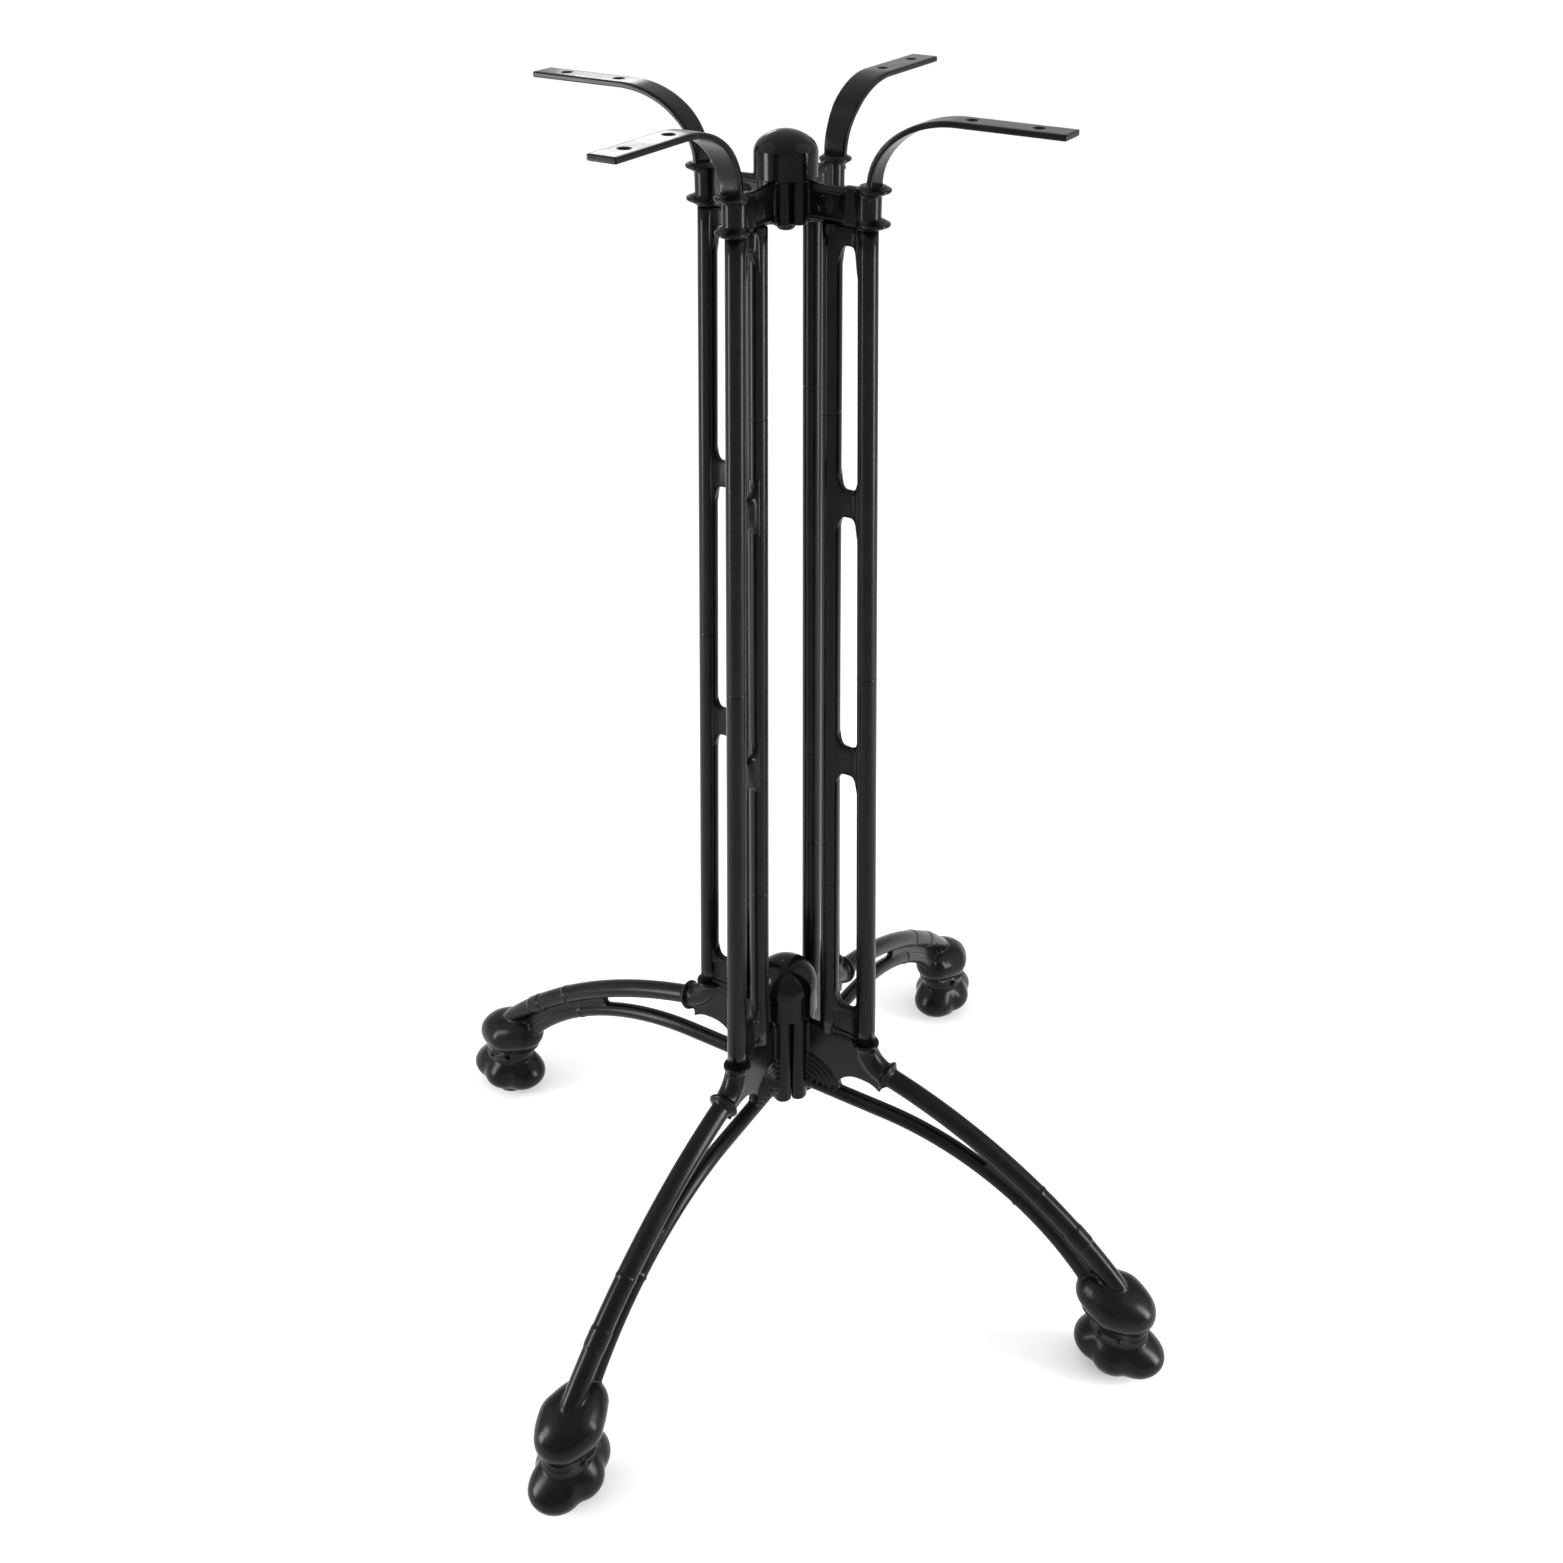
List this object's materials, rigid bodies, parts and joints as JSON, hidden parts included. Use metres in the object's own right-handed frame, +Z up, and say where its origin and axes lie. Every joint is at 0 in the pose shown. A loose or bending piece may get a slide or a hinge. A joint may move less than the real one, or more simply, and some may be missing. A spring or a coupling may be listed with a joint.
{
  "type": "table base",
  "caption": "Bar-height cast table base: branches clamped round a central axis, each with a rodded column frame, an arched leg on a lobed foot and a bent flat arm for the table top.",
  "frame": {"origin": "on the floor, on the central axis of the base", "axes": "+Z up along the column, +X along one branch, +Y along the next branch"},
  "size_m": [0.806, 0.806, 1.08],
  "materials": {
    "black_casting": "satin black enamel over a cast skin",
    "black_strap": "satin black enamel",
    "zinc_steel": "zinc-plated fastener steel",
    "pad_rubber": "matt moulded rubber"
  },
  "bodies": {
    "base": {"arm_bracket_back": "black_casting", "arm_bracket_front": "black_casting", "arm_bracket_left": "black_casting", "arm_bracket_right": "black_casting", "arm_pins": "zinc_steel", "bottom_cap": "black_casting", "bottom_clamp_nut": "zinc_steel", "bottom_clamp_washer": "zinc_steel", "bottom_tie_bolt": "zinc_steel", "column_foot_pins": "zinc_steel", "column_frame_back": "black_casting", "column_frame_front": "black_casting", "column_frame_left": "black_casting", "column_frame_right": "black_casting", "column_top_pins": "zinc_steel", "leg_back": "black_casting", "leg_front": "black_casting", "leg_left": "black_casting", "leg_right": "black_casting", "table_arm_back": "black_strap", "table_arm_front": "black_strap", "table_arm_left": "black_strap", "table_arm_right": "black_strap", "threaded_inserts": "zinc_steel", "top_cap": "black_casting", "top_clamp_nut": "zinc_steel", "top_clamp_washer": "zinc_steel", "top_tie_bolt": "zinc_steel"},
    "pad_right": {"leveller_pad_right": "pad_rubber"},
    "stud_right": {"leveller_stud_right": "zinc_steel"},
    "pad_back": {"leveller_pad_back": "pad_rubber"},
    "stud_back": {"leveller_stud_back": "zinc_steel"},
    "pad_left": {"leveller_pad_left": "pad_rubber"},
    "stud_left": {"leveller_stud_left": "zinc_steel"},
    "pad_front": {"leveller_pad_front": "pad_rubber"},
    "stud_front": {"leveller_stud_front": "zinc_steel"}
  },
  "joints": [
    {"name": "pad_slide_right", "type": "slide", "parent": "base", "child": "pad_right", "axis": [0, 0, -1], "range_m": [0, 0.008]},
    {"name": "stud_turn_right", "type": "hinge", "parent": "pad_right", "child": "stud_right", "pos_m": [0.3595, 0, 0.0025], "axis": [0, 0, -1], "range_deg": [0, 2305]},
    {"name": "pad_slide_back", "type": "slide", "parent": "base", "child": "pad_back", "axis": [0, 0, -1], "range_m": [0, 0.008]},
    {"name": "stud_turn_back", "type": "hinge", "parent": "pad_back", "child": "stud_back", "pos_m": [0, 0.3595, 0.0025], "axis": [0, 0, -1], "range_deg": [0, 2305]},
    {"name": "pad_slide_left", "type": "slide", "parent": "base", "child": "pad_left", "axis": [0, 0, -1], "range_m": [0, 0.008]},
    {"name": "stud_turn_left", "type": "hinge", "parent": "pad_left", "child": "stud_left", "pos_m": [-0.3595, 0, 0.0025], "axis": [0, 0, -1], "range_deg": [0, 2305]},
    {"name": "pad_slide_front", "type": "slide", "parent": "base", "child": "pad_front", "axis": [0, 0, -1], "range_m": [0, 0.008]},
    {"name": "stud_turn_front", "type": "hinge", "parent": "pad_front", "child": "stud_front", "pos_m": [0, -0.3595, 0.0025], "axis": [0, 0, -1], "range_deg": [0, 2305]}
  ],
  "couplings": [
    {"joint": "stud_turn_right", "follows": "pad_slide_right", "rad_per_m": 5026.5},
    {"joint": "stud_turn_back", "follows": "pad_slide_back", "rad_per_m": 5026.5},
    {"joint": "stud_turn_left", "follows": "pad_slide_left", "rad_per_m": 5026.5},
    {"joint": "stud_turn_front", "follows": "pad_slide_front", "rad_per_m": 5026.5}
  ]
}
